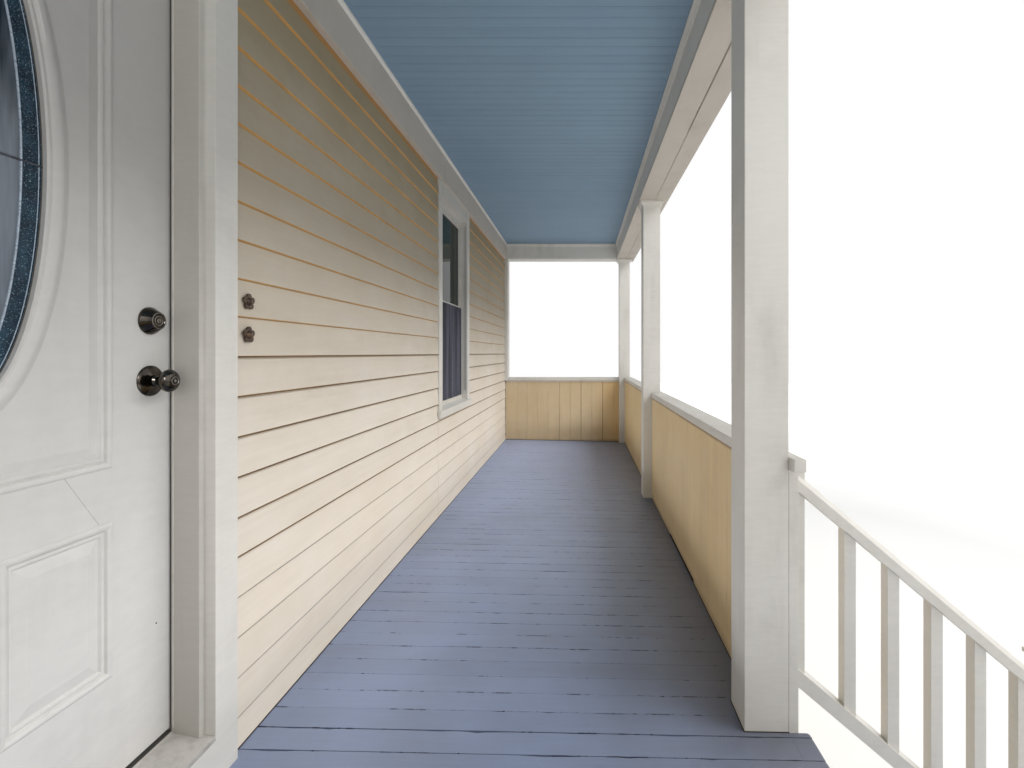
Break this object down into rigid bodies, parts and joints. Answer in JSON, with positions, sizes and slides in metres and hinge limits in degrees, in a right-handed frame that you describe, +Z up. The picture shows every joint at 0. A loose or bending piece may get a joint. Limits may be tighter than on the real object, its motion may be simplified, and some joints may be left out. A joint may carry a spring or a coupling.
{
  "type": "front porch",
  "caption": "Timber front porch with a sloping painted deck, board knee walls, square posts, a blue board ceiling, lean-to roof, entry door with an oval light and raked stair rails",
  "frame": {"origin": "Middle of the foot of the whole, on the ground", "axes": "X runs along the porch away from the entry door, Y points from the stairs to the house, Z is up"},
  "size_m": [7.428, 2.82, 4.3537],
  "materials": {
    "trim_paint": "white oil paint on wood, brushed, slightly uneven",
    "siding_paint": "cream paint on lapped wooden clapboards",
    "panel_paint": "tan-cream paint on vertical boards",
    "deck_paint": "slate blue-grey floor paint, worn and chipped at the joints",
    "ceiling_paint": "matt blue paint on narrow beaded boards",
    "door_paint": "satin white paint on a pressed panel door",
    "bare_wood": "sawn softwood",
    "wall_plaster": "warm white paint on plaster",
    "masonry": "weathered concrete",
    "shingle": "mineral granules on asphalt",
    "sill_metal": "dull mill finish, scuffed",
    "lock_metal": "dark pewter, satin",
    "screen_mesh": "dark insect mesh in a dark grey frame",
    "glass": "dark clear glass, obscured in the door"
  },
  "bodies": {
    "porch": {"foundation_wall": "masonry", "floor_band": "bare_wood", "porch_piers": "masonry", "deck_girders": "bare_wood", "deck_joists": "bare_wood", "deck_floor": "deck_paint", "skirt_boards": "panel_paint", "stair_stringers": "trim_paint", "stair_treads": "deck_paint", "stair_risers": "trim_paint", "stair_rails": "trim_paint", "stair_newels": "trim_paint", "porch_posts": "trim_paint", "knee_walls_front": "panel_paint", "knee_walls_ends": "panel_paint", "cladding_near": "siding_paint", "cladding_main": "siding_paint", "cap_rail_near": "trim_paint", "cap_rail_main": "trim_paint", "front_beam": "trim_paint", "end_beams": "trim_paint", "beam_soffit": "trim_paint", "ceiling_boards": "ceiling_paint", "ceiling_moulding": "trim_paint", "roof_framing": "bare_wood", "roof_deck": "bare_wood", "roof_shingles": "shingle", "eave_cornice": "trim_paint", "roof_cheeks": "trim_paint", "wall_near": "wall_plaster", "wall_over_door": "wall_plaster", "wall_main": "wall_plaster", "wall_siding": "siding_paint", "wall_frieze": "trim_paint", "wall_pilasters": "trim_paint", "wall_rosettes": "lock_metal", "door_frame": "trim_paint", "door_sill": "sill_metal", "window_frame": "trim_paint", "window_sashes": "trim_paint", "window_glass": "glass", "window_screen": "screen_mesh"},
    "door": {"door_slab": "door_paint", "door_light_frame": "door_paint", "door_glass": "glass", "door_hardware": "lock_metal"},
    "knob": {"door_knob": "lock_metal"}
  },
  "joints": [
    {"name": "entry_door", "type": "hinge", "parent": "porch", "child": "door", "pos_m": [-2.7815, 1.352, 2.015], "axis": [0, 0, 1], "range_deg": [0, 110]},
    {"name": "knob_turn", "type": "hinge", "parent": "door", "child": "knob", "pos_m": [-1.932, 1.3, 1.93], "axis": [0, 1, 0], "range_deg": [-60, 60], "stiffness_Nm_per_rad": 0.3}
  ]
}
